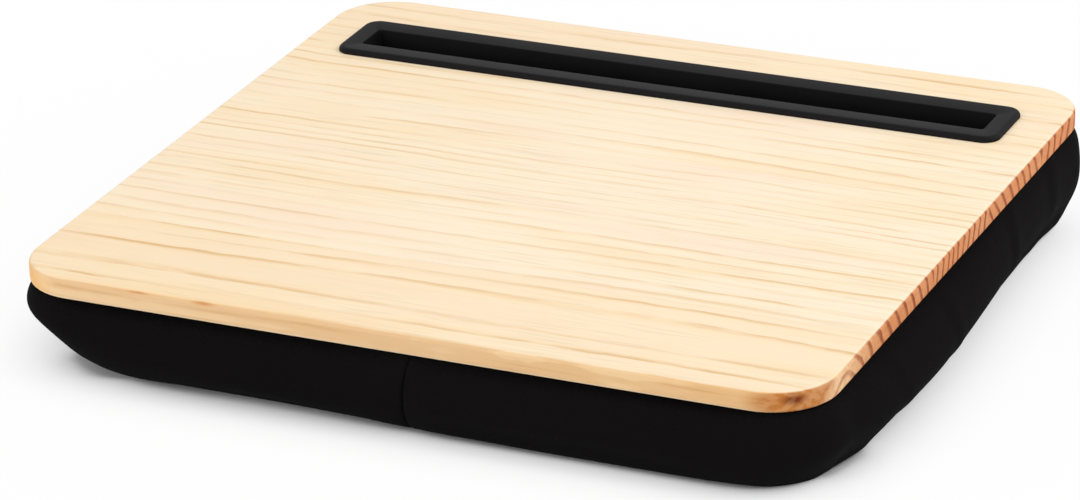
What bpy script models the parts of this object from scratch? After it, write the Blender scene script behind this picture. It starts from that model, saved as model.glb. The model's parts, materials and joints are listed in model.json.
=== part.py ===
"""Lap tray with a slot for a tablet: an edge-glued pine board on a bead-filled cushion.

Metres, +Z up, +X along the long side and +Y towards the slot at the back. The tray
stands on its cushion, and the origin is on the floor under its middle. The board is
built level in its own frame, whose origin is the middle of its underside, and an
empty tilts it with everything that is fixed to it.
"""
from math import cos, log, pi, radians, sin

import bmesh
import bpy
from mathutils import Matrix, Vector

# Pine board
BOARD_LENGTH = 0.390
BOARD_DEPTH = 0.368
BOARD_THICK = 0.0095
BOARD_CORNER = 0.030
TOP_ROUND = 0.0022
UNDER_ROUND = 0.001
BOARD_TILT = 2.5
STAVE_COUNT = 5
SLOT_LAND = 0.006
GLUE_LINE = 0.0003

# Moulded insert that lines the slot
SLOT_LENGTH = 0.326
SLOT_WIDTH = 0.020
SLOT_DEPTH = 0.0103
SLOT_CORNER = 0.0016
RIM_SIDE = 0.0115
RIM_END = 0.010
RIM_HEIGHT = 0.0027
RIM_CORNER = 0.008
RIM_ROUND = 0.0016
RIM_TO_BACK_EDGE = 0.0345
INSERT_WALL = 0.0016
CUTOUT_CLEARANCE = 0.0004

# Hook and loop tape between the board and the cushion
TAPE_LENGTH = 0.100
TAPE_WIDTH = 0.025
TAPE_THICK = 0.001
TAPE_CORNER = 0.003
TAPE_END_MARGIN = 0.035
TAPE_FRONT_MARGIN = 0.032
TAPE_TO_SLOT = 0.018

# Cushion: how far it swells past the board's outline, and how far it tucks in at the floor
FRONT_HEIGHT = 0.038
BULGE_FRONT = 0.0105
BULGE_SIDE = 0.016
BULGE_CORNER = 0.001
SIDE_PEAK = 0.3
TUCK_FRONT = 0.0085
TUCK_SIDE = 0.003
TUCK_FRONT_LEFT = 0.022
TUCK_FRONT_RIGHT = 0.009
TUCK_BACK = 0.013
EDGE_ROLL = 0.006
ROLL_OUT = 0.45
BELLY = 0.5
LOW_TURN = 0.2
UNDERCUT = 0.5
SEAM_INSET = 0.012
SEAM_PULL = 0.0022
SEAM_REACH = 0.014
FABRIC = 0.0008

# Touching pieces keep this gap
SEAT_GAP = 0.0003

# Facets
CORNER_STEPS = 8
CUSHION_CORNER_STEPS = 6
CUSHION_SIDE_STEPS = 10
SEAM_STEPS = 3
STEPS_PER_SPAN = 2

UP = Vector((0, 0, 1))


def clear_scene():
    for item in list(bpy.data.objects):
        bpy.data.objects.remove(item, do_unlink=True)


def collection(name):
    made = bpy.data.collections.new(name)
    bpy.context.scene.collection.children.link(made)
    return made


def material(name, colour, roughness):
    made = bpy.data.materials.new(name)
    made.use_nodes = True
    shader = made.node_tree.nodes["Principled BSDF"]
    shader.inputs["Base Color"].default_value = (*colour, 1)
    shader.inputs["Roughness"].default_value = roughness
    shader.inputs["Metallic"].default_value = 0
    return made


def add(name, bm, group, finish=None, parent=None):
    """Turns a bmesh into an object of the collection, on its parent's frame."""
    mesh = bpy.data.meshes.new(name)
    bmesh.ops.recalc_face_normals(bm, faces=bm.faces)
    bm.to_mesh(mesh)
    bm.free()
    item = bpy.data.objects.new(name, mesh)
    group.objects.link(item)
    item.parent = parent
    if finish:
        mesh.materials.append(finish)
        mesh.shade_smooth()
        mesh.set_sharp_from_angle(angle=radians(35))
    else:
        item.hide_render = True
        item.display_type = "WIRE"
    return item


def boolean(item, cutter, operation):
    step = item.modifiers.new(cutter.name, "BOOLEAN")
    step.object = cutter
    step.operation = operation
    step.solver = "EXACT"


def is_upright(edge):
    along = edge.verts[1].co - edge.verts[0].co
    return abs(along.normalized().dot(UP)) > 0.99


def bevel(bm, edges, width, steps):
    bmesh.ops.bevel(bm, geom=list(edges), offset=width, segments=steps, affect="EDGES", profile=0.5)


def rim_edges(bm, height):
    """The outline edges of a plate at one height."""
    return [e for e in bm.edges if all(abs(v.co.z - height) < 1e-6 for v in e.verts)]


def plate(length, depth, low, high, corner, centre=(0, 0), steps=CORNER_STEPS):
    """A flat block between two heights, its four upright edges rounded."""
    bm = bmesh.new()
    bmesh.ops.create_cube(bm, size=1)
    bmesh.ops.scale(bm, vec=(length, depth, high - low), verts=bm.verts)
    bmesh.ops.translate(bm, vec=(*centre, (low + high) / 2), verts=bm.verts)
    bevel(bm, [e for e in bm.edges if is_upright(e)], corner, steps)
    return bm


# The board: staves sawn from one rounded outline, the back one cut through for the insert

def slot_centre():
    return BOARD_DEPTH / 2 - RIM_TO_BACK_EDGE - RIM_SIDE - SLOT_WIDTH / 2


def cutout_width():
    return SLOT_WIDTH + 2 * (INSERT_WALL + CUTOUT_CLEARANCE)


def stave_lines():
    """Glue lines from front to back, with the board's two edges. The back stave holds the whole cut-out."""
    last = slot_centre() - cutout_width() / 2 - SLOT_LAND
    front = -BOARD_DEPTH / 2
    step = (last - front) / (STAVE_COUNT - 1)
    return [front + number * step for number in range(STAVE_COUNT)] + [BOARD_DEPTH / 2]


def board_blank():
    bm = plate(BOARD_LENGTH, BOARD_DEPTH, 0, BOARD_THICK, BOARD_CORNER)
    bevel(bm, rim_edges(bm, BOARD_THICK), TOP_ROUND, 3)
    bevel(bm, rim_edges(bm, 0), UNDER_ROUND, 2)
    return bm


def make_board(parts, cutters, frame, pine):
    lines = stave_lines()
    for number, (low, high) in enumerate(zip(lines, lines[1:]), 1):
        low += -GLUE_LINE if number == 1 else GLUE_LINE / 2
        high += GLUE_LINE if number == STAVE_COUNT else -GLUE_LINE / 2
        slab = bmesh.new()
        bmesh.ops.create_cube(slab, size=1)
        bmesh.ops.scale(slab, vec=(BOARD_LENGTH * 1.1, high - low, BOARD_THICK * 3), verts=slab.verts)
        bmesh.ops.translate(slab, vec=(0, (low + high) / 2, BOARD_THICK / 2), verts=slab.verts)
        saw = add(f"stave_saw_{number}", slab, cutters, parent=frame)
        stave = add(f"board_stave_{number}", board_blank(), parts, pine, frame)
        boolean(stave, saw, "INTERSECT")
    length = SLOT_LENGTH + 2 * (INSERT_WALL + CUTOUT_CLEARANCE)
    corner = SLOT_CORNER + INSERT_WALL + CUTOUT_CLEARANCE
    cutout = plate(length, cutout_width(), -BOARD_THICK, 2 * BOARD_THICK, corner, (0, slot_centre()))
    boolean(stave, add("slot_cutout", cutout, cutters, parent=frame), "DIFFERENCE")


# The insert: a flat rim that lies on the board round a shallow trough

def trough_underside():
    return BOARD_THICK + RIM_HEIGHT - SLOT_DEPTH - INSERT_WALL


def make_insert(parts, cutters, frame, plastic):
    centre = (0, slot_centre())
    top = BOARD_THICK + RIM_HEIGHT
    rim = plate(SLOT_LENGTH + 2 * RIM_END, SLOT_WIDTH + 2 * RIM_SIDE, BOARD_THICK + SEAT_GAP, top,
                RIM_CORNER, centre)
    bevel(rim, rim_edges(rim, top), RIM_ROUND, 3)
    insert = add("slot_insert", rim, parts, plastic, frame)
    trough = plate(SLOT_LENGTH + 2 * INSERT_WALL, SLOT_WIDTH + 2 * INSERT_WALL, trough_underside(),
                   top - RIM_ROUND / 2, SLOT_CORNER + INSERT_WALL, centre, 4)
    hollow = plate(SLOT_LENGTH, SLOT_WIDTH, top - SLOT_DEPTH, top + SLOT_DEPTH, SLOT_CORNER, centre, 4)
    boolean(insert, add("trough_block", trough, cutters, parent=frame), "UNION")
    boolean(insert, add("trough_hollow", hollow, cutters, parent=frame), "DIFFERENCE")


# The tape: four hook strips under the board, each pressed on a loop strip of the cushion

def tape_places():
    side = BOARD_LENGTH / 2 - TAPE_END_MARGIN - TAPE_LENGTH / 2
    front = -BOARD_DEPTH / 2 + TAPE_FRONT_MARGIN + TAPE_WIDTH / 2
    back = slot_centre() - SLOT_WIDTH / 2 - INSERT_WALL - TAPE_TO_SLOT - TAPE_WIDTH / 2
    return [(x, y) for y in (front, back) for x in (-side, side)]


def make_tape(parts, frame, hook, loop):
    hook_low = -SEAT_GAP - TAPE_THICK
    loop_low = hook_low - SEAT_GAP - TAPE_THICK
    for number, place in enumerate(tape_places(), 1):
        for name, low, finish in (("hook", hook_low, hook), ("loop", loop_low, loop)):
            strip = plate(TAPE_LENGTH, TAPE_WIDTH, low, low + TAPE_THICK, TAPE_CORNER, place, 3)
            add(f"{name}_strip_{number}", strip, parts, finish, frame)


# The cushion: its side band follows the board's outline, swells between the corners and
# tucks under to the floor; its top panel lies below the tape and its bottom panel on the floor

def panel_drop():
    """From the board's underside down to the cushion's top panel, past the tape and the trough."""
    tape = 3 * SEAT_GAP + 2 * TAPE_THICK
    return max(tape, SEAT_GAP - trough_underside())


def underside(y):
    """Height of the board's underside over the floor."""
    return FRONT_HEIGHT + (y + BOARD_DEPTH / 2) * sin(radians(BOARD_TILT))


def mix(low, high, share):
    return low + (high - low) * share


def half_outline(side):
    """Stations round one half of the board's outline, from the front seam to the back seam.

    The half is on the right for a side of 1 and on the left for -1. Each station is its
    place, its outward direction, and how far the cushion bulges and tucks there.
    """
    stations = []
    half_x = BOARD_LENGTH / 2
    half_y = BOARD_DEPTH / 2
    run_x = half_x - BOARD_CORNER
    run_y = half_y - BOARD_CORNER
    front_tuck = TUCK_FRONT_RIGHT if side > 0 else TUCK_FRONT_LEFT

    def seam_side(end, corner_tuck):
        near = [SEAT_GAP / 2] + [SEAM_REACH * k / SEAM_STEPS for k in range(1, SEAM_STEPS + 1)]
        rest = CUSHION_SIDE_STEPS // 2
        far = [mix(SEAM_REACH, run_x, k / rest) for k in range(1, rest)]
        for x in near + far:
            swell = cos(pi / 2 * x / run_x) ** 2
            pull = cos(pi / 2 * min(x / SEAM_REACH, 1)) ** 2
            bulge = mix(BULGE_CORNER, BULGE_FRONT, swell) - SEAM_PULL * pull
            tuck = mix(corner_tuck, TUCK_FRONT, swell)
            yield Vector((side * x, end * half_y)), Vector((0, end)), bulge, tuck

    def corner(end, tuck):
        for k in range(CUSHION_CORNER_STEPS + 1):
            turn = pi / 2 * k / CUSHION_CORNER_STEPS
            out = Vector((side * sin(turn), end * cos(turn)))
            yield Vector((side * run_x, end * run_y)) + out * BOARD_CORNER, out, BULGE_CORNER, tuck

    stations += seam_side(-1, front_tuck)
    stations += corner(-1, front_tuck)
    for k in range(1, CUSHION_SIDE_STEPS):
        along = k / CUSHION_SIDE_STEPS
        swell = sin(pi * along ** (log(0.5) / log(SIDE_PEAK))) ** 2
        ends = mix(front_tuck, TUCK_BACK, (1 - cos(pi * along)) / 2)
        place = Vector((side * half_x, mix(-run_y, run_y, along)))
        bulge = mix(BULGE_CORNER, BULGE_SIDE, swell)
        stations.append((place, Vector((side, 0)), bulge, mix(ends, TUCK_SIDE, swell)))
    stations += reversed(list(corner(1, TUCK_BACK)))
    stations += reversed(list(seam_side(1, TUCK_BACK)))
    return stations


def full_outline():
    return half_outline(1) + half_outline(-1)[::-1]


def catmull(knots, steps):
    """A smooth curve through the knots, with the same number of steps in each span."""
    ends = [2 * knots[0] - knots[1]] + knots + [2 * knots[-1] - knots[-2]]
    points = [knots[0]]
    for a, b, c, d in zip(ends, ends[1:], ends[2:], ends[3:]):
        for k in range(1, steps + 1):
            t = k / steps
            points.append(0.5 * (2 * b + (c - a) * t + (2 * a - 5 * b + 4 * c - d) * t * t
                                 + (3 * b - a - 3 * c + d) * t ** 3))
    return points


def section(station):
    """The skin at one station, from the top seam to the floor: distance out, and height."""
    place, out, bulge, tuck = station
    top = underside(place.y)
    slope = sin(radians(BOARD_TILT)) * out.y
    knots = [Vector((-SEAM_INSET, top - SEAM_INSET * slope - panel_drop())),
             Vector((-SEAM_INSET / 2, top - SEAM_INSET / 2 * slope - 2 * SEAT_GAP)),
             Vector((bulge * ROLL_OUT, top - EDGE_ROLL)),
             Vector((bulge, top * BELLY)),
             Vector((bulge / 2 - tuck * UNDERCUT, top * LOW_TURN)),
             Vector((-tuck, SEAT_GAP))]
    skin = catmull(knots, STEPS_PER_SPAN)
    for point in skin[1:]:
        roof = top + point.x * slope - SEAT_GAP * 1.5
        point.y = max(min(point.y, roof), SEAT_GAP)
    return skin


def inward(skin, distance):
    """The same section, moved in through the cloth by a distance."""
    moved = []
    for k, point in enumerate(skin):
        along = skin[min(k + 1, len(skin) - 1)] - skin[max(k - 1, 0)]
        along.normalize()
        moved.append(point + Vector((along.y, -along.x)) * distance)
    return moved


def in_space(station, point):
    place, out = station[:2]
    plan = place + out * point.x
    return Vector((plan.x, plan.y * cos(radians(BOARD_TILT)), point.y))


def loft(rows, closed):
    """Quads between rows of points, each row running down one section."""
    bm = bmesh.new()
    grid = [[bm.verts.new(point) for point in row] for row in rows]
    pairs = list(zip(grid, grid[1:] + grid[:1])) if closed else list(zip(grid, grid[1:]))
    for left, right in pairs:
        for k in range(len(left) - 1):
            bm.faces.new((left[k], left[k + 1], right[k + 1], right[k]))
    if closed:
        bm.faces.new([row[0] for row in grid])
        bm.faces.new([row[-1] for row in reversed(grid)])
    return bm


def make_bands(parts, cloth):
    halves = (("cover_band_right", half_outline(1)), ("cover_band_left", half_outline(-1)[::-1]))
    for name, stations in halves:
        rows = [[in_space(s, p) for p in section(s)] for s in stations]
        band = add(name, loft(rows, False), parts, cloth)
        shell = band.modifiers.new("cloth", "SOLIDIFY")
        shell.thickness = FABRIC
        shell.offset = -1


def make_panel(name, rim, thickness, parts, finish, parent=None):
    """A flat sheet: its outline filled, and pulled down by its thickness."""
    bm = bmesh.new()
    face = bm.faces.new([bm.verts.new(point) for point in rim])
    grown = bmesh.ops.extrude_face_region(bm, geom=[face])
    low = [item for item in grown["geom"] if isinstance(item, bmesh.types.BMVert)]
    bmesh.ops.translate(bm, vec=(0, 0, -thickness), verts=low)
    add(name, bm, parts, finish, parent)


def make_cushion(parts, frame, cloth, beads):
    make_bands(parts, cloth)
    ring = full_outline()

    top_rim = [(*(place + out * (-SEAM_INSET - SEAT_GAP)), -panel_drop()) for place, out, *rest in ring]
    make_panel("cover_top_panel", top_rim, FABRIC, parts, cloth, frame)

    floor_rim = []
    for station in ring:
        hem = inward(section(station), FABRIC)[-1]
        floor_rim.append(in_space(station, Vector((hem.x - SEAT_GAP, FABRIC))))
    make_panel("cover_bottom_panel", floor_rim, FABRIC, parts, cloth)

    depth = FABRIC + SEAT_GAP * 1.5
    rows = []
    for station in ring:
        inner = inward(section(station), depth)
        inner[0] = Vector((-SEAM_INSET, section(station)[0].y - depth))
        inner[-1].y = depth
        rows.append([in_space(station, point) for point in inner])
    add("bead_fill", loft(rows, True), parts, beads)


def main():
    clear_scene()
    parts = collection("lap_tray")
    cutters = collection("cutters")
    frame = bpy.data.objects.new("board_frame", None)
    parts.objects.link(frame)
    tilt = Matrix.Rotation(radians(BOARD_TILT), 4, "X")
    frame.matrix_world = Matrix.Translation((0, 0, underside(0))) @ tilt

    pine = material("pine", (0.82, 0.62, 0.37), 0.45)
    plastic = material("black plastic", (0.018, 0.018, 0.020), 0.35)
    cloth = material("black cloth", (0.012, 0.012, 0.014), 0.9)
    tape = material("black tape", (0.02, 0.02, 0.02), 0.95)
    beads = material("white beads", (0.85, 0.85, 0.83), 0.8)

    make_board(parts, cutters, frame, pine)
    make_insert(parts, cutters, frame, plastic)
    make_tape(parts, frame, tape, tape)
    make_cushion(parts, frame, cloth, beads)
    bpy.context.view_layer.update()


main()
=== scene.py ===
"""A lap tray for a tablet: a pine board with a moulded slot, on a bead-filled cushion.

Metres, +Z up, +Y towards the slot at the back. The tray stands on the floor, with the
origin under its middle.
"""
import json
from math import cos, exp, log, pi, radians, sin, tanh

import bmesh
import bpy
from mathutils import Matrix, Vector


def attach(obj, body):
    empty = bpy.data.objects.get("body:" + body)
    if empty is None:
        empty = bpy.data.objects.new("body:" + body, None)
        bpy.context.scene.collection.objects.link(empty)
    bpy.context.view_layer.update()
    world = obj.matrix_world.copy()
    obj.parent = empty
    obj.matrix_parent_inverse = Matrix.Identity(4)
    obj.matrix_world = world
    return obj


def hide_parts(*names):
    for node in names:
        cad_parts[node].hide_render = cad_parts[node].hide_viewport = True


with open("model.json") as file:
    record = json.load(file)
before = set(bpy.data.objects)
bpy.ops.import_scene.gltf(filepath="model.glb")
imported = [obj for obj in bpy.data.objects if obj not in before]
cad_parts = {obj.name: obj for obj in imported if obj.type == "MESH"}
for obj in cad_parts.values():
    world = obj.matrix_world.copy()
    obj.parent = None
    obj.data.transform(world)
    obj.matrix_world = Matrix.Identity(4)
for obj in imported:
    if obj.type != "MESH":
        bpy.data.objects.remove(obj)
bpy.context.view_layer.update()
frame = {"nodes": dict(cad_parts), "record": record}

# The pine board: five staves, glued edge to edge, sanded as one panel and clear lacquered.
# It is modelled level, with its top at height zero and its middle at the origin, and laid
# on the cushion by the matrix on_board, which leans its back edge up.
BOARD_LENGTH = 0.390
BOARD_DEPTH = 0.368
BOARD_THICK = 0.0095
BOARD_CORNER = 0.030
TOP_ROUND = 0.0020
UNDER_ROUND = 0.001
STAVE_LINES = (-0.184, -0.1105, -0.037, 0.0365, 0.110, 0.184)
GLUE_LINE = 0.00003
ON_PLANE = 0.000002
SHARP_ANGLE = radians(40)

board_top = next(mount for mount in frame["record"]["mounts"] if mount["name"] == "board_top")
lean = Vector((0, 0, 1)).rotation_difference(Vector(board_top["axis"]))
on_board = Matrix.Translation(board_top["pos_m"]) @ lean.to_matrix().to_4x4()


def ring(bm, length, depth, corner, height, centre_y=0.0, steps=12):
    """A ring of edges at one height: a rectangle with round corners."""
    made = bmesh.ops.create_grid(bm, x_segments=1, y_segments=1, size=0.5)["verts"]
    bmesh.ops.scale(bm, vec=(length, depth, 1), verts=made)
    bmesh.ops.translate(bm, vec=(0, centre_y, height), verts=made)
    rounded = bmesh.ops.bevel(bm, geom=made, offset=corner, segments=steps, profile=0.5, material=-1,
                              affect="VERTICES")
    face = rounded["verts"][0].link_faces[0]
    edges = list(face.edges)
    bmesh.ops.delete(bm, geom=[face], context="FACES_ONLY")
    return edges


def lofted(levels, centre_y=0.0):
    """A closed solid through (length, depth, corner, height) levels, from its first to its last."""
    bm = bmesh.new()
    rings = [ring(bm, *level, centre_y) for level in levels]
    for one, other in zip(rings, rings[1:]):
        bmesh.ops.bridge_loops(bm, edges=one + other)
    bmesh.ops.edgeloop_fill(bm, edges=rings[0])
    bmesh.ops.edgeloop_fill(bm, edges=rings[-1])
    bmesh.ops.recalc_face_normals(bm, faces=bm.faces)
    return bm


def rounding(length, depth, corner, height, radius, steps=5, flat=0.0004, crown=0.00001):
    """Levels over a rounded edge, from the side wall up to the flat face at a height.

    A level a little way along each of the two flat faces keeps their shading flat. The
    second lies a hair proud, so that no two levels share a height.
    """
    down = 1 if radius > 0 else -1
    radius = abs(radius)
    levels = [(length, depth, corner, height - down * (radius + flat))]
    for step in range(steps + 1):
        turn = pi / 2 * step / steps
        inset = radius * (1 - cos(turn))
        rise = radius * (1 - sin(turn))
        levels.append((length - 2 * inset, depth - 2 * inset, corner - inset, height - down * rise))
    inset = radius + flat
    levels.append((length - 2 * inset, depth - 2 * inset, corner - inset, height + down * crown))
    return levels


def cut(bm, place, facing, clear=False):
    """Cuts the mesh by a plane; clear takes away what lies behind it, and closes the cut."""
    everything = bm.verts[:] + bm.edges[:] + bm.faces[:]
    made = bmesh.ops.bisect_plane(bm, geom=everything, dist=ON_PLANE, plane_co=place, plane_no=facing,
                                  clear_inner=clear)
    loop = [item for item in made["geom_cut"] if isinstance(item, bmesh.types.BMEdge)]
    if clear and loop:
        bmesh.ops.edgeloop_fill(bm, edges=loop)


def board_blank():
    """The whole panel, before it is parted into its staves."""
    size = (BOARD_LENGTH, BOARD_DEPTH, BOARD_CORNER)
    under = rounding(*size, -BOARD_THICK, -UNDER_ROUND, steps=3)
    return lofted(under[::-1] + rounding(*size, 0, TOP_ROUND))


def stave(low, high):
    """One stave of the panel, from its front glue line to its back one."""
    bm = board_blank()
    cut(bm, (0, low + GLUE_LINE / 2, 0), (0, 1, 0), clear=True)
    cut(bm, (0, high - GLUE_LINE / 2, 0), (0, -1, 0), clear=True)
    return bm


class Term:
    """The value of a shader socket. Sums of terms and numbers add their Math nodes."""

    def __init__(self, finish, socket):
        self.finish = finish
        self.socket = socket

    def math(self, operation, *others):
        """A Math node over this term and others."""
        values = dict(enumerate((self, *others)))
        return self.finish.add("Math", {"operation": operation}, values)

    def __add__(self, other):
        return self.math("ADD", other)

    def __sub__(self, other):
        return self.math("SUBTRACT", other)

    def __rsub__(self, other):
        return self.finish.add("Math", {"operation": "SUBTRACT"}, {0: other, 1: self})

    def __mul__(self, other):
        return self.math("MULTIPLY", other)

    def __truediv__(self, other):
        return self.math("DIVIDE", other)

    def __pow__(self, other):
        return self.math("POWER", other)

    def __abs__(self):
        return self.math("ABSOLUTE")

    __radd__ = __add__
    __rmul__ = __mul__

    def between(self, low, high):
        """0 up to low and 1 from high, eased in between."""
        settings = {"interpolation_type": "SMOOTHSTEP"}
        return self.finish.add("MapRange", settings, {"Value": self, "From Min": low, "From Max": high})


class Finish:
    """A surface finish: one material, whose nodes add() makes and joins."""

    def __init__(self, name, roughness, **constants):
        self.material = bpy.data.materials.new(name)
        self.material.use_nodes = True
        self.tree = self.material.node_tree
        self.shader = self.tree.nodes["Principled BSDF"]
        self.shader.inputs["Roughness"].default_value = roughness
        for socket, value in constants.items():
            self.shader.inputs[socket.replace("_", " ")].default_value = value

    def add(self, kind, settings, sockets, out=0):
        """A node of any kind: its settings are set first, then its sockets are filled or joined."""
        node = self.tree.nodes.new("ShaderNode" + kind)
        for name, value in settings.items():
            setattr(node, name, value)
        for name, value in sockets.items():
            if isinstance(value, Term):
                self.tree.links.new(value.socket, node.inputs[name])
            else:
                node.inputs[name].default_value = value
        return Term(self, node.outputs[out])

    def noise(self, place, scale, detail=2.0, stretch=(1, 1, 1), shift=0.0):
        """Smooth noise about 0.5, with this many lumps to a metre along each axis."""
        sockets = {"Vector": place, "Location": (shift, shift, shift), "Scale": stretch}
        moved = self.add("Mapping", {}, sockets)
        return self.add("TexNoise", {}, {"Vector": moved, "Scale": scale, "Detail": detail})

    def position(self):
        """The place on the object, in metres."""
        return self.add("TexCoord", {}, {}, out=3)

    def axes(self, vector):
        return [self.add("SeparateXYZ", {}, {0: vector}, out) for out in range(3)]

    def blend(self, one, other, share):
        """A colour from one to the other."""
        return self.add("Mix", {"data_type": "RGBA"}, {0: share, 6: one, 7: other}, out=2)

    def join(self, **sockets):
        for socket, term in sockets.items():
            self.tree.links.new(term.socket, self.shader.inputs[socket.replace("_", " ")])

    def relief(self, height, depth):
        """Joins a height, 0 to 1 over this depth, to the surface's normal."""
        self.join(Normal=self.add("Bump", {}, {"Height": height, "Strength": 1.0, "Distance": depth}))


PALE_PINE = (0.975, 0.836, 0.625, 1)
PINK_PINE = (0.965, 0.785, 0.600, 1)
GOLD_PINE = (0.940, 0.680, 0.380, 1)
RING_PINE = (0.760, 0.480, 0.215, 1)
THREAD_PINE = (0.780, 0.640, 0.420, 1)
SIDE_PINE = (0.860, 0.540, 0.240, 1)
SIDE_PALE = (0.890, 0.620, 0.350, 1)
SIDE_RING = (0.620, 0.300, 0.100, 1)
END_PINE = (0.700, 0.268, 0.097, 1)
END_RING = (0.320, 0.070, 0.018, 1)
KNOT_HALO = (0.520, 0.175, 0.030, 1)
KNOT_CORE = (0.160, 0.024, 0.001, 1)
RESIN = (0.620, 0.230, 0.050, 1)
CORNER_GLOW = (0.900, 0.520, 0.190, 1)
KNOT_PLACE = (0.1838, -0.1774, -0.0038)
KNOT_SQUEEZE = (0.5, 0.5, 1.1)
# The front stave's marks: place, squeeze along each axis, how far out it is full and has faded,
# colour, and whether the top shows it too.
FRONT_MARKS = ((KNOT_PLACE, KNOT_SQUEEZE, 0.0055, 0.0135, KNOT_HALO, False),
               (KNOT_PLACE, KNOT_SQUEEZE, 0.0004, 0.0042, KNOT_CORE, False),
               ((-0.0945, -0.1838, -0.0006), (0.16, 0.8, 1.0), 0.0001, 0.0015, RESIN, True),
               ((-0.1275, -0.1838, -0.0004), (0.14, 0.8, 1.2), 0.0000, 0.0012, RESIN, True),
               ((-0.1862, -0.1752, -0.0060), (0.6, 0.6, 1.0), 0.0020, 0.0120, CORNER_GLOW, False))
LACQUER = {"Specular_IOR_Level": 0.16, "Coat_Weight": 0.02, "Coat_Roughness": 0.25}
GRAIN_RELIEF = 0.00005
WANDER = 0.016
RIPPLE = 0.0034
FLICK = 0.0012
ARRIS_HIGHLIGHT_FROM = 0.0006
ARRIS_HIGHLIGHT_TO = 0.0013


def pine(name, pith_y, pith_z, ring_width, gold, shift, marks):
    """Pine from one log. Its rings lie round a pith below the stave.

    They show as lines on its top, and as bands on its ends.
    """
    finish = Finish(name, 0.42, **LACQUER)
    level = {"Vector": finish.position(), "Location": board_top["pos_m"], "Rotation": tuple(lean.to_euler())}
    place = finish.add("Mapping", {"vector_type": "TEXTURE"}, level)
    x, y, z = finish.axes(place)

    # The rings: late is the dark half of each year, line its last part, and edge where it stops.
    wander = (finish.noise(place, 4, 1, (1, 0.6, 0.6), shift) - 0.5) * WANDER
    ripple = (finish.noise(place, 30, 3, (1, 0.5, 0.5), shift + 3) - 0.5) * RIPPLE
    flick = (finish.noise(place, 140, 2, (0.7, 1, 1), shift + 5) - 0.5) * FLICK
    across = y - pith_y + wander + ripple + flick
    up = z - pith_z + wander * 0.5
    radius = (across * across + up * up) ** 0.5
    uneven = finish.noise(place, 40, 1, (0.06, 1, 1), shift + 7) - 0.5
    phase = (radius / ring_width + uneven * 0.8).math("FRACT")
    edge = 1 - phase.between(0.94, 1.0)
    late = phase.between(0.42, 0.74) * edge
    line = phase.between(0.66, 0.90) * edge
    stripe = phase.between(0.56, 0.80) * edge

    # What varies along the grain: stronger and broken lines, fine streaks, threads and fibres.
    bold = finish.noise(place, 110, 1, (0.055, 1, 1), shift + 11).between(0.40, 0.66)
    broken = finish.noise(place, 75, 2, (0.35, 1.6, 1.6), shift + 13).between(0.30, 0.55)
    streak = finish.noise(place, 420, 3, (0.03, 1, 1), shift + 17)
    thread = finish.noise(place, 620, 2, (0.04, 1, 1), shift + 19).between(0.52, 0.70)
    patch = finish.noise(place, 9, 1, (0.7, 1.6, 1), shift + 21).between(0.34, 0.58)
    fibre = finish.noise(place, 1500, 2, (0.02, 1, 1), shift + 23)
    cloud = finish.noise(place, 10, 2, (0.5, 2.4, 1), shift + 29)

    # Which face it is: the top, the long sides or the ends, which show the rings across.
    facing = finish.add("NewGeometry", {}, {}, out=1)
    end_x, side_y, top_z = finish.axes(facing)
    waver = (finish.noise(place, 60, 2, (0.5, 1, 1), shift + 31) - 0.5) * 0.5
    on_end = abs(end_x).between(0.45, 0.85)
    on_side = (abs(side_y) + waver).between(0.30, 0.75)
    on_edge = 1 - top_z.between(0.55, 0.90)

    leftward = (0 - x).between(-0.03, 0.17) * 0.13
    outer = abs(x).between(0.03, 0.17)
    top = finish.blend(PALE_PINE, PINK_PINE, (1 - cloud).between(0.45, 0.70))
    warm = gold + leftward + cloud.between(0.48, 0.70) * 0.30
    warm = warm + streak.between(0.5, 0.7) * 0.18 + late * bold * 0.25
    top = finish.blend(top, GOLD_PINE, warm)
    top = finish.blend(top, THREAD_PINE, thread * patch * 0.45)
    drawn = line * broken * (0.16 + bold * 0.55)
    top = finish.blend(top, RING_PINE, drawn * (0.58 + gold * 1.2 + outer * 0.5))

    side = finish.blend(SIDE_PINE, SIDE_PALE, cloud.between(0.35, 0.60))
    side = finish.blend(side, SIDE_RING, streak.between(0.50, 0.72) * 0.30 + late * broken * 0.30)
    # Painted highlight: the long sides turn paler along their lower arris, within about a millimetre of the
    # underside.
    painted_arris_highlight = 1 - (z + BOARD_THICK).between(ARRIS_HIGHLIGHT_FROM, ARRIS_HIGHLIGHT_TO)
    side = finish.blend(side, PALE_PINE, painted_arris_highlight * 0.45)

    frontward = (0 - y).between(0.09, 0.17) * 0.8
    end = finish.blend(END_PINE, SIDE_PALE, cloud.between(0.40, 0.70) * 0.12 + frontward)
    banded = stripe * (0.68 + broken * 0.26) * (1 - frontward * 0.7)
    banded = banded + thread * 0.10 + streak.between(0.45, 0.70) * 0.16
    end = finish.blend(end, END_RING, banded)
    colour = finish.blend(finish.blend(top, side, on_side), end, on_end)

    # The knot, the resin streaks and the warm corner, each round its own place.
    burl = streak.between(0.40, 0.60) * 0.25 + 0.72
    for spot, squeeze, full, faded, tint, on_top in marks:
        centred = {"Location": tuple(-a * b for a, b in zip(spot, squeeze)), "Scale": squeeze}
        moved = finish.add("Mapping", {}, {"Vector": place, **centred})
        apart = finish.add("VectorMath", {"operation": "LENGTH"}, {0: moved}, out=1)
        ragged = apart + (ripple + flick) * (0.2 + faded * 40)
        spread = (1 - ragged.between(full, faded)) * burl
        colour = finish.blend(colour, tint, spread if on_top else spread * on_edge)
    finish.join(Base_Color=colour)
    finish.join(Roughness=0.38 + streak * 0.1 + on_end * 0.2)
    finish.relief(line * 0.6 + fibre * 0.5, GRAIN_RELIEF)
    return finish.material


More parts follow.
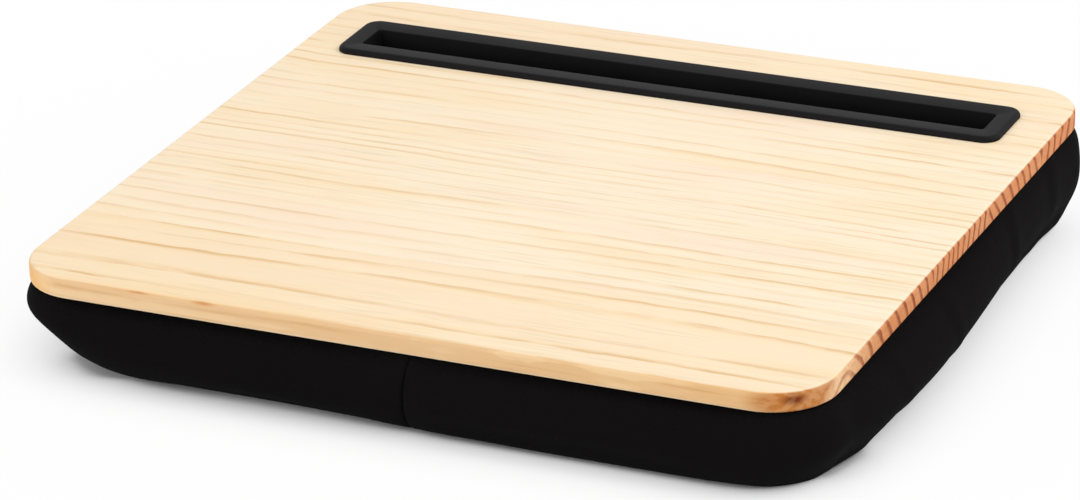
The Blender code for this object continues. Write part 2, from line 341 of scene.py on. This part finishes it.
def tray_piece(name, bm, finish, slot, *nodes, place=on_board):
    """Lays a finished mesh in place as a piece of the tray, in place of the frame's nodes."""
    bmesh.ops.transform(bm, matrix=place, verts=bm.verts)
    mesh = bpy.data.meshes.new(name)
    bm.to_mesh(mesh)
    bm.free()
    mesh.materials.append(finish)
    mesh.shade_smooth()
    mesh.set_sharp_from_angle(angle=SHARP_ANGLE)
    made = bpy.data.objects.new(name, mesh)
    bpy.context.scene.collection.objects.link(made)
    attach(made, "root")
    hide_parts(*nodes)
    return made


# The hole routed through the back stave, with the round corners that the cutter leaves. The
# insert drops into it, and its rim hides the edge.
SLOT_LENGTH = 0.326
SLOT_WIDTH = 0.020
SLOT_CENTRE = 0.128
INSERT_WALL = 0.0016
HOLE_CLEARANCE = 0.0004
HOLE_CORNER = 0.0036
HOLE_STEPS = 6


def rout_hole(bm):
    """Cuts the hole through a stave, and rounds its four upright corners."""
    half_x = SLOT_LENGTH / 2 + INSERT_WALL + HOLE_CLEARANCE
    half_y = SLOT_WIDTH / 2 + INSERT_WALL + HOLE_CLEARANCE
    for side in (-1, 1):
        cut(bm, (side * half_x, 0, 0), (side, 0, 0))
        cut(bm, (0, SLOT_CENTRE + side * half_y, 0), (0, side, 0))

    def inside(face):
        middle = face.calc_center_median()
        return abs(middle.x) < half_x and abs(middle.y - SLOT_CENTRE) < half_y

    bmesh.ops.delete(bm, geom=[face for face in bm.faces if inside(face)], context="FACES")
    walls = bmesh.ops.bridge_loops(bm, edges=[edge for edge in bm.edges if edge.is_boundary])["edges"]
    upright = [edge for edge in walls if abs(edge.verts[0].co.z - edge.verts[1].co.z) > BOARD_THICK / 2]
    bmesh.ops.bevel(bm, geom=upright, offset=HOLE_CORNER, segments=HOLE_STEPS, profile=0.5, material=-1,
                    affect="EDGES")


# Each stave's log, front to back: how far its pith lies behind the stave's middle and how high,
# the width of its rings, and how golden it is.
LOGS = ((0.000, -0.020, 0.0085, 0.29), (-0.100, -0.055, 0.0086, 0.00), (0.150, -0.050, 0.0068, 0.00),
        (-0.100, -0.058, 0.0080, 0.02), (0.095, -0.055, 0.0090, 0.22))
LOG_SHIFT = 13.7
for number, (low, high) in enumerate(zip(STAVE_LINES, STAVE_LINES[1:]), 1):
    bm = stave(low, high)
    if number == len(LOGS):
        rout_hole(bm)
    behind, pith_z, ring_width, gold = LOGS[number - 1]
    pith_y = (low + high) / 2 + behind
    marks = FRONT_MARKS if number == 1 else ()
    wood = pine(f"pine stave {number}", pith_y, pith_z, ring_width, gold, LOG_SHIFT * number, marks)
    tray_piece(f"pine_stave_{number}", bm, wood, "pine", f"board_stave_{number}")


# The slot insert, moulded in black plastic: a flat rim that lies on the board, round a
# shallow trough for the edge of the tablet. It is pressed into the routed hole.
SLOT_DEPTH = 0.0103
SLOT_CORNER = 0.0016
RIM_SIDE = 0.0115
RIM_END = 0.010
RIM_HEIGHT = 0.0027
RIM_CORNER = 0.008
RIM_ROUND = 0.0022
RIM_FALL = 0.0006
RIM_SEAT = 0.00005
RIM_RISE = 0.00005
RIM_STEPS = 6
LIP_ROUND = 0.0004
LIP_STEPS = 3
FLOOR_FILLET = 0.0010
FLOOR_STEPS = 4
SATIN_DARK = (0.0035, 0.0032, 0.0035, 1)
SATIN_PALE = (0.0070, 0.0066, 0.0070, 1)
SPARK_RELIEF = 0.00002


def insert_form():
    """The moulding in one loft: up its outside, over the rim, and down into the slot."""
    trough = (SLOT_LENGTH + 2 * INSERT_WALL, SLOT_WIDTH + 2 * INSERT_WALL, SLOT_CORNER + INSERT_WALL)
    rim = (SLOT_LENGTH + 2 * RIM_END, SLOT_WIDTH + 2 * RIM_SIDE, RIM_CORNER)
    slot = (SLOT_LENGTH, SLOT_WIDTH, SLOT_CORNER)
    floor = RIM_HEIGHT - SLOT_DEPTH
    levels = rounding(*trough, floor - INSERT_WALL, -FLOOR_FILLET, steps=3)[::-1]
    levels += [(*trough, RIM_SEAT + RIM_RISE), (*rim, RIM_SEAT)]
    levels += rounding(*rim, RIM_HEIGHT, RIM_ROUND, RIM_STEPS)
    for step in range(LIP_STEPS + 1):
        turn = pi / 2 * step / LIP_STEPS
        out = 2 * LIP_ROUND * (1 - sin(turn))
        drop = LIP_ROUND * (1 - cos(turn))
        lip = RIM_HEIGHT - RIM_FALL - drop
        levels.append((slot[0] + out, slot[1] + out, SLOT_CORNER + out / 2, lip))
    for step in range(FLOOR_STEPS + 1):
        turn = pi / 2 * step / FLOOR_STEPS
        inset = FLOOR_FILLET * (1 - cos(turn))
        rise = FLOOR_FILLET * (1 - sin(turn))
        levels.append((slot[0] - 2 * inset, slot[1] - 2 * inset, SLOT_CORNER - inset, floor + rise))
    return lofted(levels, SLOT_CENTRE)


def satin_black():
    """Moulded plastic with a fine spark-eroded grain, paler and rougher in soft patches."""
    finish = Finish("satin black plastic", 0.5, Specular_IOR_Level=0.11)
    place = finish.position()
    grain = finish.noise(place, 2600, 2)
    blotch = finish.noise(place, 22, 3)
    finish.join(Base_Color=finish.blend(SATIN_DARK, SATIN_PALE, blotch))
    finish.join(Roughness=0.46 + blotch * 0.12 + grain * 0.06)
    finish.relief(grain, SPARK_RELIEF)
    return finish.material


tray_piece("slot_insert_moulded", insert_form(), satin_black(), "insert", "slot_insert")


# The hook tape: four strips stuck under the board, and the loop strips sewn on the cushion's
# top under them. Both are woven tapes with a pile, and the frame's own strips show them.
TAPE_STRIPS = 4
HOOKS_TO_METRE = 900
LOOPS_TO_METRE = 520
HOOK_PILE = 0.0004
LOOP_PILE = 0.0007
HOOK_LIT_TIP = (0.0308, 0.0308, 0.0330, 1)
HOOK_SHADED_BASE = (0.0140, 0.0140, 0.0150, 1)
LOOP_LIT_TIP = (0.0220, 0.0220, 0.0242, 1)
LOOP_SHADED_BASE = (0.0100, 0.0100, 0.0110, 1)


def pile_tape(name, lit_tip, shaded_base, tufts, height):
    """Tape with a pile: so many tufts to a metre, with painted highlight on the tufts' tips and painted
    shade between them.
    """
    finish = Finish(name, 0.9, Sheen_Weight=0.15)
    place = finish.position()
    spots = finish.add("TexVoronoi", {}, {"Vector": place, "Scale": tufts})
    mottle = finish.noise(place, 90, 2)
    # Painted highlight on each tuft and painted shade between the tufts, with a soft random mottle.
    finish.join(Base_Color=finish.blend(lit_tip, shaded_base, spots.between(0.1, 0.6) * 0.8 + mottle * 0.2))
    finish.relief(1 - spots, height)
    return finish.material


tapes = {"hook": pile_tape("hook tape", HOOK_LIT_TIP, HOOK_SHADED_BASE, HOOKS_TO_METRE, HOOK_PILE),
         "loop": pile_tape("loop tape", LOOP_LIT_TIP, LOOP_SHADED_BASE, LOOPS_TO_METRE, LOOP_PILE)}
for kind, finish in tapes.items():
    for number in range(1, TAPE_STRIPS + 1):
        strip = frame["nodes"][f"{kind}_strip_{number}"]
        strip.data.materials.clear()
        strip.data.materials.append(finish)


# The cushion's side band: black close-woven cloth, in two strips that meet in upright seams at
# the middle of the front and of the back. It is drawn in under the board, swells out past it
# with the loose beads inside, and turns under to the floor.
FRONT_HEIGHT = 0.038
BULGE_FRONT = 0.0095
BULGE_SIDE = 0.0165
SIDE_PEAK = 0.255
SIDE_FALL = 1.7
TUCK_FRONT_LEFT = 0.0125
TUCK_FRONT_RIGHT = 0.0060
TUCK_SIDE = 0.003
TUCK_BACK = 0.014
# At each corner: the swell, the tuck, and how far along the outline they are felt.
CORNERS = {(-1, -1): (0.0006, 0.0262, 0.096), (1, -1): (0.0060, 0.0104, 0.062),
           (1, 1): (0.0030, 0.0100, 0.062), (-1, 1): (0.0030, 0.0100, 0.062)}
SWELL_FADE = 3
TUCK_FADE = 1.6
ROLL_OUT = 0.45
BELLY = 0.5
LOW_TURN = 0.18
LOW_SHARE = 0.30
SIDE_SHARE = 0.54
CORNER_LIFT = 880
SHARE_LIFT = 1.6
MOST_INSET = 0.0268
HEM_INSET = 0.012
HEM_DROP = 0.0029
EDGE_ROLL = 0.006
BOARD_GAP = 0.0004
FLOOR_GAP = 0.0008
CLOTH_THICK = 0.0008
FRONT_SEAM = 0.006
SEAM_GAP = 0.00024
SEAM_PULL = 0.0022
SEAM_REACH = 0.014
SEAM_FOLD = 0.0030
FOLD_WIDTH = 0.0019
NEAR_SEAM = (SEAM_GAP / 2, 0.0005, 0.0009, 0.0014, 0.0020, 0.0030, 0.0045, 0.0065, 0.0090)
STATION_STEP = 0.005
SPAN_STEPS = 4
COLUMNS = 5 * SPAN_STEPS + 1
HELD_ROWS = 5
PRESSURE = 4
MOMENTS = 20
SWELL_CAP = 0.0022
# Each crease: its way round at the hem and at the floor, its height and its width.
CREASES = ((0.441, 0.411, 0.0011, 0.0050), (0.342, 0.320, 0.0009, 0.0045), (0.497, 0.482, 0.0008, 0.0060),
           (0.268, 0.262, 0.0006, 0.0060), (0.640, 0.655, 0.0007, 0.0060), (0.905, 0.930, 0.0009, 0.0050),
           (1.020, 1.035, 0.0008, 0.0055), (1.165, 1.150, 0.0007, 0.0060), (1.205, 1.196, 0.0006, 0.0050))
HOLLOW_SHARE = 0.7
HOLLOW_ASIDE = 1.5
THREAD_PITCH = 0.0009
CLOTH_DARK = (0.0034, 0.0029, 0.0032, 1)
CLOTH_LINT = (0.0084, 0.0075, 0.0081, 1)
WEAVE_RELIEF = 0.00012

half_x, half_y = BOARD_LENGTH / 2, BOARD_DEPTH / 2
run_x, run_y = half_x - BOARD_CORNER, half_y - BOARD_CORNER
corner_run = pi / 2 * BOARD_CORNER
half_way = 2 * run_x + 2 * run_y + 2 * corner_run


def mix(low, high, share):
    """A share of the way from low to high."""
    return low + (high - low) * share


def ease(share):
    """A share from 0 to 1, slow at both ends."""
    return (1 - cos(pi * min(max(share, 0), 1))) / 2


def seam_distance(way):
    """How far a way round is from the nearer of the band's two seams."""
    return min(abs((way - seam + half_way) % (2 * half_way) - half_way) for seam in (FRONT_SEAM, half_way))


def outline(way):
    """A place on the board's outline, a way round from the middle of its front.

    Gives the place, the way out from it, how far the cloth swells out past it, and how far in
    the cloth meets the floor.
    """
    way %= 2 * half_way
    side = 1 if way < half_way else -1
    pull = SEAM_PULL * max(0, 1 - seam_distance(way) / SEAM_REACH) ** 2
    way = min(way, 2 * half_way - way)
    end = -1 if way < half_way / 2 else 1
    middle_way = min(way, half_way - way)
    corner_bulge, corner_tuck, reach = CORNERS[side, end]
    front_tuck = TUCK_FRONT_RIGHT if side > 0 else TUCK_FRONT_LEFT
    if middle_way < run_x:
        place, out = Vector((side * middle_way, end * half_y)), Vector((0, end))
        bulge = BULGE_FRONT
        rightward = ease(0.5 + side * middle_way / run_x)
        tuck = TUCK_BACK if end > 0 else mix(TUCK_FRONT_LEFT, TUCK_FRONT_RIGHT, rightward)
    elif middle_way < run_x + corner_run:
        turn = (middle_way - run_x) / BOARD_CORNER
        out = Vector((side * sin(turn), end * cos(turn)))
        place = Vector((side * run_x, end * run_y)) + out * BOARD_CORNER
        bulge = mix(BULGE_FRONT, corner_bulge, sin(turn))
        tuck = TUCK_BACK if end > 0 else front_tuck
    else:
        along = (way - run_x - corner_run) / (2 * run_y)
        place, out = Vector((side * half_x, mix(-run_y, run_y, along))), Vector((side, 0))
        swell = sin(pi * along ** (log(0.5) / log(SIDE_PEAK))) ** SIDE_FALL
        bulge = mix(mix(CORNERS[side, -1][0], CORNERS[side, 1][0], along), BULGE_SIDE, swell)
        tuck = mix(mix(front_tuck, TUCK_BACK, ease(along)), TUCK_SIDE, swell)
    nearness = ease(1 - abs(middle_way - run_x - corner_run / 2) / reach)
    bulge = mix(bulge, corner_bulge, nearness ** SWELL_FADE)
    return place, out, bulge - pull, mix(tuck, corner_tuck, nearness ** TUCK_FADE)


def section(place, out, bulge, tuck, within=0.0):
    """The cloth at one place, from its hem under the board to the floor: distance out, and height.

    The filling's form lies a little within it.
    """
    rise = sin(lean.angle)
    top = FRONT_HEIGHT + (place.y + half_y) * rise
    slope = rise * out.y
    lift = CORNER_LIFT * max(0, tuck - TUCK_BACK) ** 2
    low_share = max(mix(LOW_SHARE, SIDE_SHARE, abs(out.x)), LOW_SHARE + lift * SHARE_LIFT)
    knots = [Vector((-HEM_INSET, top - HEM_INSET * slope - HEM_DROP)),
             Vector((-HEM_INSET / 2, top - HEM_INSET / 2 * slope - BOARD_GAP * 1.5)),
             Vector((bulge * ROLL_OUT, top - EDGE_ROLL)),
             Vector((bulge, top * (BELLY + lift))),
             Vector((mix(bulge, -tuck, low_share), top * (LOW_TURN + lift))),
             Vector((-tuck, FLOOR_GAP))]
    ends = [2 * knots[0] - knots[1]] + knots + [2 * knots[-1] - knots[-2]]
    if within:
        ways = [(after - before).normalized() for before, after in zip(ends, ends[2:])]
        knots = [knot + Vector((way.y, -way.x)) * within for knot, way in zip(knots, ways)]
        ends = [2 * knots[0] - knots[1]] + knots + [2 * knots[-1] - knots[-2]]
    points = [knots[0]]
    for a, b, c, d in zip(ends, ends[1:], ends[2:], ends[3:]):
        for step in range(1, SPAN_STEPS + 1):
            t = step / SPAN_STEPS
            points.append(0.5 * (2 * b + (c - a) * t + (2 * a - 5 * b + 4 * c - d) * t * t
                                 + (3 * b - a - 3 * c + d) * t ** 3))
    return points


def stations(side):
    """Ways round one half of the cushion, close together at its two seams."""
    first, last = (FRONT_SEAM, half_way) if side > 0 else (half_way, 2 * half_way + FRONT_SEAM)
    low, high = first + NEAR_SEAM[-1], last - NEAR_SEAM[-1]
    steps = round((high - low) / STATION_STEP)
    even = [mix(low, high, step / steps) for step in range(1, steps)]
    return [first + near for near in NEAR_SEAM] + even + [last - near for near in NEAR_SEAM[::-1]]


def band_form(ways, within=0.0):
    """A grid of quads: a row for each way round, and a column for each point down the section.

    No point lies further in than MOST_INSET, or the rows would cross at the corners.
    """
    bm = bmesh.new()
    bmesh.ops.create_grid(bm, x_segments=len(ways) - 1, y_segments=COLUMNS - 1, size=0.5)
    weave = bm.loops.layers.uv.new("weave")
    for vert in bm.verts:
        row = round((vert.co.x + 0.5) * (len(ways) - 1))
        column = round((vert.co.y + 0.5) * (COLUMNS - 1))
        place, out, bulge, tuck = outline(ways[row])
        skin = section(place, out, bulge, tuck, within)
        down = sum((after - before).length for before, after in zip(skin[:column], skin[1:]))
        for loop in vert.link_loops:
            loop[weave].uv = (ways[row], down)
        plan = place + out * max(skin[column].x, -MOST_INSET)
        vert.co = (plan.x, plan.y * cos(lean.angle), skin[column].y)
    return bm


def rows_of(mesh, count):
    """The numbers of a grid's vertices, row by row."""
    return [[row + column * count for column in range(len(mesh.vertices) // count)] for row in range(count)]


def settle(piece, held):
    """Lets the filling press the cloth out between its held edges, each point only up to a cap."""
    piece.vertex_groups.new(name="held").add(held, 1.0, "REPLACE")
    pressed = piece.modifiers.new("filling", "CLOTH")
    pressed.settings.vertex_group_mass = "held"
    pressed.settings.use_pressure = True
    pressed.settings.uniform_pressure_force = PRESSURE
    pressed.settings.shrink_min = 0.0
    pressed.settings.effector_weights.gravity = 0
    for moment in range(1, MOMENTS + 1):
        bpy.context.scene.frame_set(moment)
    shape = piece.evaluated_get(bpy.context.evaluated_depsgraph_get()).data
    steps = [there.co - here.co for here, there in zip(piece.data.vertices, shape.vertices)]
    piece.modifiers.remove(pressed)
    bpy.context.scene.frame_set(1)
    for vert, step in zip(piece.data.vertices, steps):
        if step.length:
            vert.co += step.normalized() * SWELL_CAP * tanh(step.length / SWELL_CAP)


def crease(piece, ways):
    """Turns the band's two ends in at its seams, and adds the slack cloth's creases.

    It also keeps the cloth off the board and the floor.
    """
    rise = sin(lean.angle)
    for row, numbers in enumerate(rows_of(piece.data, len(ways))):
        out = outline(ways[row])[1]
        fold = SEAM_FOLD * max(0, 1 - seam_distance(ways[row]) / FOLD_WIDTH) ** 2
        for column, number in enumerate(numbers):
            down = column / (COLUMNS - 1)
            step = -fold * sin(pi * min(down * 1.1, 1)) ** 0.5
            for high, low, height, width in CREASES:
                aside = (ways[row] - mix(high, low, down)) / width
                hollow = HOLLOW_SHARE * exp(-(aside + HOLLOW_ASIDE) ** 2)
                step += height * (exp(-aside ** 2) - hollow) * sin(pi * down) ** 1.5
            vert = piece.data.vertices[number]
            vert.co.x += out.x * step
            vert.co.y += out.y * step
            roof = FRONT_HEIGHT + (vert.co.y / cos(lean.angle) + half_y) * rise - BOARD_GAP
            vert.co.z = max(min(vert.co.z, roof), FLOOR_GAP)


def black_cloth():
    """Close plain weave, dyed black: the threads, thicker and thinner yarns, and a little lint."""
    finish = Finish("black cloth", 0.92, Specular_IOR_Level=0.015, Sheen_Weight=0.010, Sheen_Roughness=0.5)
    weave = finish.add("UVMap", {"uv_map": "weave"}, {})
    place = finish.position()
    threads = [(finish.axes(weave)[axis] * 2 * pi / THREAD_PITCH).math("SINE") for axis in (0, 1)]
    cloth = threads[0] * threads[1]
    lint = finish.noise(place, 3, 3)
    slub = finish.noise(place, 420, 2)
    tone = lint * 0.6 + slub * 0.25 + cloth * 0.1
    finish.join(Base_Color=finish.blend(CLOTH_DARK, CLOTH_LINT, tone))
    finish.join(Roughness=0.82 + slub * 0.14)
    finish.relief(cloth * 0.5 + slub * 0.6, WEAVE_RELIEF)
    return finish.material


def sewn(piece):
    """Gives a cloth piece its finer curve and its thickness."""
    fine = piece.modifiers.new("fine", "SUBSURF")
    fine.levels = fine.render_levels = 1
    shell = piece.modifiers.new("cloth", "SOLIDIFY")
    shell.thickness = CLOTH_THICK
    shell.offset = -1


cloth_finish = black_cloth()
for side, name in ((1, "right"), (-1, "left")):
    ways = stations(side)
    bm = band_form(ways)
    bmesh.ops.recalc_face_normals(bm, faces=bm.faces)
    band = tray_piece(f"cloth_band_{name}", bm, cloth_finish, "cover_cloth", f"cover_band_{name}",
                      place=Matrix())
    rows = rows_of(band.data, len(ways))
    held = [number for row in rows[:HELD_ROWS] + rows[-HELD_ROWS:] for number in row]
    held += [row[column] for row in rows for column in (0, 1, -2, -1)]
    settle(band, held)
    crease(band, ways)
    sewn(band)


# The cushion's bottom panel lies on the floor, and its top panel lies under the board with the
# loop tape sewn on. Both are flat sheets of the same cloth, sewn into the band's hems with their
# edges turned in.
PANEL_GAP = 0.0003
EDGE_TURN = 0.0012
TURN_WIDTH = 0.0020
SEAM_CLOSE = SEAM_GAP * 1.2


def panel_form(column, facing):
    """A sheet that fills one hem of the band. It faces up or down, and its edge turns the other way."""
    bm = band_form(stations(1) + stations(-1))
    bm.verts.index_update()
    count = len(bm.verts) // COLUMNS
    other = [vert for vert in bm.verts if vert.index // count != column % COLUMNS]
    bmesh.ops.delete(bm, geom=other, context="VERTS")
    bmesh.ops.remove_doubles(bm, verts=bm.verts, dist=SEAM_CLOSE)
    sheet = bmesh.ops.edgeloop_fill(bm, edges=bm.edges)["faces"]
    if sheet[0].normal.z * facing < 0:
        bmesh.ops.reverse_faces(bm, faces=sheet)
    border = bmesh.ops.inset_region(bm, faces=sheet, thickness=PANEL_GAP)["faces"]
    bmesh.ops.delete(bm, geom=border, context="FACES")
    for width in (0.5, 0.5, 1.0):
        bmesh.ops.inset_region(bm, faces=sheet, thickness=TURN_WIDTH * width)
    for vert in {vert for edge in bm.edges if edge.is_boundary for vert in edge.verts}:
        vert.co.z -= facing * EDGE_TURN
    bmesh.ops.triangulate(bm, faces=sheet)
    weave = bm.loops.layers.uv.verify()
    for face in bm.faces:
        for loop in face.loops:
            loop[weave].uv = loop.vert.co.xy
    return bm


for name, column, facing in (("bottom", -1, -1), ("top", 0, 1)):
    bm = panel_form(column, facing)
    panel = tray_piece(f"cloth_{name}_panel", bm, cloth_finish, "cover_cloth", f"cover_{name}_panel",
                       place=Matrix())
    sewn(panel)


# The filling: loose polystyrene beads, poured into the cover before its last seam is closed. They
# show nowhere, and lie as one rounded heap inside the cloth.
FILL_DEPTH = 0.0046
END_INSET = 0.004
BEAD_SIZE = 0.0035
BEAD_WHITE = (0.80, 0.80, 0.78, 1)
BEAD_SHADE = (0.55, 0.55, 0.54, 1)


def filling_form():
    """The heap: the band's form a little within the cloth, closed at its top and bottom."""
    bm = band_form(stations(1) + stations(-1), FILL_DEPTH)
    bmesh.ops.remove_doubles(bm, verts=bm.verts, dist=SEAM_CLOSE)
    ends = [edge for edge in bm.edges if edge.is_boundary]
    made = bmesh.ops.edgeloop_fill(bm, edges=ends)["faces"]
    for face in made:
        bmesh.ops.inset_region(bm, faces=[face], thickness=END_INSET)
    bmesh.ops.triangulate(bm, faces=made)
    bmesh.ops.recalc_face_normals(bm, faces=bm.faces)
    return bm


def white_beads():
    """Expanded beads, darker where they touch."""
    finish = Finish("white beads", 0.7)
    place = finish.position()
    bead = finish.add("TexVoronoi", {}, {"Vector": place, "Scale": 1 / BEAD_SIZE})
    finish.join(Base_Color=finish.blend(BEAD_WHITE, BEAD_SHADE, bead.between(0.3, 0.7)))
    finish.relief(1 - bead, BEAD_SIZE / 2)
    return finish.material


filling = tray_piece("bead_filling", filling_form(), white_beads(), "beads", "bead_fill", place=Matrix())


# The stage: a white floor under even light, with one soft lamp at the side and one in front,
# seen through a long lens from the front right. The floor is shown darker only close to the tray.
CAMERA_PLACE = (0.9012, -2.0191, 0.8897)
CAMERA_TURN = (68.524, 0.632, 24.134)
CAMERA_LENS = 169.4
AIR_LIGHT = 0.76
FLOOR_SIZE = 40.0
FLOOR_DULL = (0.90, 0.90, 0.90, 1)
FLOOR_CLEAN = (0.92, 0.92, 0.92, 1)
WHITE_SHARE = 0.92
WHITE_FROM = 0.25
WHITE_TO = 0.50
CONTACT_REACH = 0.030
CONTACT_DARK = 0.105
CONTACT_FADE = 0.40
CONTACT_SAMPLES = 32
CORNER_SHADOW_DEPTH = 0.15
CORNER_NEAR = 0.010
CORNER_FAR = 0.028
SHADOW_PAINTED_CORNERS = ((-0.163, -0.168, 0.0), (0.193, -0.140, 0.0))


def stage_floor():
    """The floor: seen white, darker only close under the tray, and with painted shadow at two front corners.
    """
    bm = bmesh.new()
    bmesh.ops.create_grid(bm, x_segments=1, y_segments=1, size=FLOOR_SIZE / 2)
    mesh = bpy.data.meshes.new("floor")
    bm.to_mesh(mesh)
    bm.free()
    finish = Finish("white floor", 0.9)
    place = finish.position()
    speckle = finish.noise(place, 30, 2)
    finish.join(Base_Color=finish.blend(FLOOR_DULL, FLOOR_CLEAN, speckle))
    distance = finish.add("VectorMath", {"operation": "LENGTH"}, {0: place}, out=1)
    away = distance.between(WHITE_FROM, WHITE_TO)
    samples = {"samples": CONTACT_SAMPLES}
    openness = finish.add("AmbientOcclusion", samples, {"Distance": CONTACT_REACH}, out=1)
    # Painted shadow: round spots at the cushion's two front corners hold the floor's white back further.
    shadow_level = CONTACT_DARK
    for corner in SHADOW_PAINTED_CORNERS:
        apart = finish.add("VectorMath", {"operation": "DISTANCE"}, {0: place, 1: corner}, out=1)
        shadow_level = shadow_level + (1 - apart.between(CORNER_NEAR, CORNER_FAR)) * CORNER_SHADOW_DEPTH
    open_air = ((openness - shadow_level) / (1 - shadow_level)).math("MAXIMUM", 0) ** CONTACT_FADE
    shown = finish.add("LightPath", {}, {}, out=0)
    white = finish.add("Emission", {}, {"Color": (1, 1, 1, 1), "Strength": 1.0})
    plain = Term(finish, finish.shader.outputs[0])
    share = shown * open_air * (WHITE_SHARE + away * (1 - WHITE_SHARE))
    mixed = finish.add("MixShader", {}, {0: share, 1: plain, 2: white})
    finish.tree.links.new(mixed.socket, finish.tree.nodes["Material Output"].inputs["Surface"])
    mesh.materials.append(finish.material)
    floor = bpy.data.objects.new("floor", mesh)
    bpy.context.scene.collection.objects.link(floor)


def soft_lamp(name, place, target, width, depth, power):
    """A rectangular lamp that faces its target."""
    light = bpy.data.lights.new(name, "AREA")
    light.shape = "RECTANGLE"
    light.size = width
    light.size_y = depth
    light.energy = power
    lamp = bpy.data.objects.new(name, light)
    lamp.location = place
    lamp.rotation_mode = "QUATERNION"
    lamp.rotation_quaternion = (Vector(target) - Vector(place)).to_track_quat("-Z", "Y")
    bpy.context.scene.collection.objects.link(lamp)


def studio_air():
    """Even light from all round; the camera, gloss and glass see it white."""
    world = bpy.data.worlds.new("studio")
    bpy.context.scene.world = world
    world.use_nodes = True
    nodes, links = world.node_tree.nodes, world.node_tree.links
    rays = nodes.new("ShaderNodeLightPath")
    level = nodes.new("ShaderNodeMapRange")
    level.inputs["To Min"].default_value = AIR_LIGHT
    level.inputs["To Max"].default_value = 1.0
    shown = rays.outputs["Is Camera Ray"]
    for kind in ("Is Glossy Ray", "Is Transmission Ray"):
        either = nodes.new("ShaderNodeMath")
        either.operation = "MAXIMUM"
        links.new(shown, either.inputs[0])
        links.new(rays.outputs[kind], either.inputs[1])
        shown = either.outputs[0]
    links.new(shown, level.inputs["Value"])
    links.new(level.outputs["Result"], nodes["Background"].inputs["Strength"])
    nodes["Background"].inputs["Color"].default_value = (1, 1, 1, 1)


def camera():
    """The long lens, from the front right and above."""
    view = bpy.data.cameras.new("camera")
    view.lens = CAMERA_LENS
    view.sensor_width = 36
    view.clip_start = 0.05
    view.clip_end = 100
    made = bpy.data.objects.new("camera", view)
    made.location = CAMERA_PLACE
    made.rotation_euler = [radians(angle) for angle in CAMERA_TURN]
    bpy.context.scene.collection.objects.link(made)
    bpy.context.scene.camera = made


stage_floor()
studio_air()
soft_lamp("side", (1.9, 0.5, 1.9), (0, 0, 0), width=1.6, depth=1.2, power=24)
soft_lamp("front", (-0.8, -2.3, 0.9), (0, 0, 0), width=1.4, depth=1.0, power=12)
camera()
bpy.context.scene.view_settings.view_transform = "Standard"
